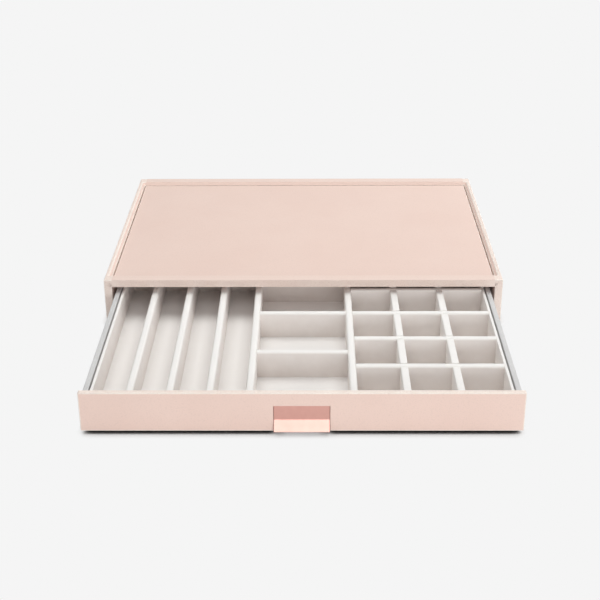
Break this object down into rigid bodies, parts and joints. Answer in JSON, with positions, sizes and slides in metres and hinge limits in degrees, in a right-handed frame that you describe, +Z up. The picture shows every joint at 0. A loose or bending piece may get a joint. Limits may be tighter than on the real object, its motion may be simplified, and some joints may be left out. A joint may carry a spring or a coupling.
{
  "type": "jewelry drawer",
  "caption": "Low stacking jewelry box: a wrapped casing with a rimmed top and one slide-out drawer, which holds a velvet tray of lanes, trays and a grid behind a bent metal pull.",
  "frame": {"origin": "centre of the base plinth's underside, on the surface that the casing stands on", "axes": "+X to the right seen from the front, -Y out of the front along the drawer's travel, +Z up"},
  "size_m": [0.43, 0.5521, 0.054],
  "materials": {
    "leatherette": "satin, fine grain",
    "velvet": "short pile, matte",
    "grey_board": "paper-wrapped, matte",
    "rose_gold": "rose gold, fine brushed",
    "felt": "flat felt"
  },
  "bodies": {
    "casing": {"casing_left_side": "leatherette", "casing_right_side": "leatherette", "casing_front_rail": "leatherette", "casing_back_rail": "leatherette", "casing_top_panel": "leatherette", "casing_back": "leatherette", "casing_bottom": "leatherette", "base_plinth": "felt"},
    "drawer": {"drawer_front": "leatherette", "drawer_pull": "rose_gold", "drawer_bottom": "grey_board", "drawer_left_side": "grey_board", "drawer_right_side": "grey_board", "drawer_back": "grey_board", "tray_base": "velvet", "tray_left_wall": "velvet", "tray_right_wall": "velvet", "tray_front_wall": "velvet", "tray_back_wall": "velvet", "left_partition": "velvet", "right_partition": "velvet", "lane_divider_1": "velvet", "lane_divider_2": "velvet", "lane_divider_3": "velvet", "middle_divider_1": "velvet", "middle_divider_2": "velvet", "middle_divider_3": "velvet", "grid_long_divider_1": "velvet", "grid_long_divider_2": "velvet", "grid_cross_divider_1": "velvet", "grid_cross_divider_2": "velvet", "grid_cross_divider_3": "velvet", "grid_cross_divider_4": "velvet"}
  },
  "joints": [
    {"name": "drawer_slide", "type": "slide", "parent": "casing", "child": "drawer", "axis": [0, -1, 0], "range_m": [-0.226, 0.024]}
  ]
}
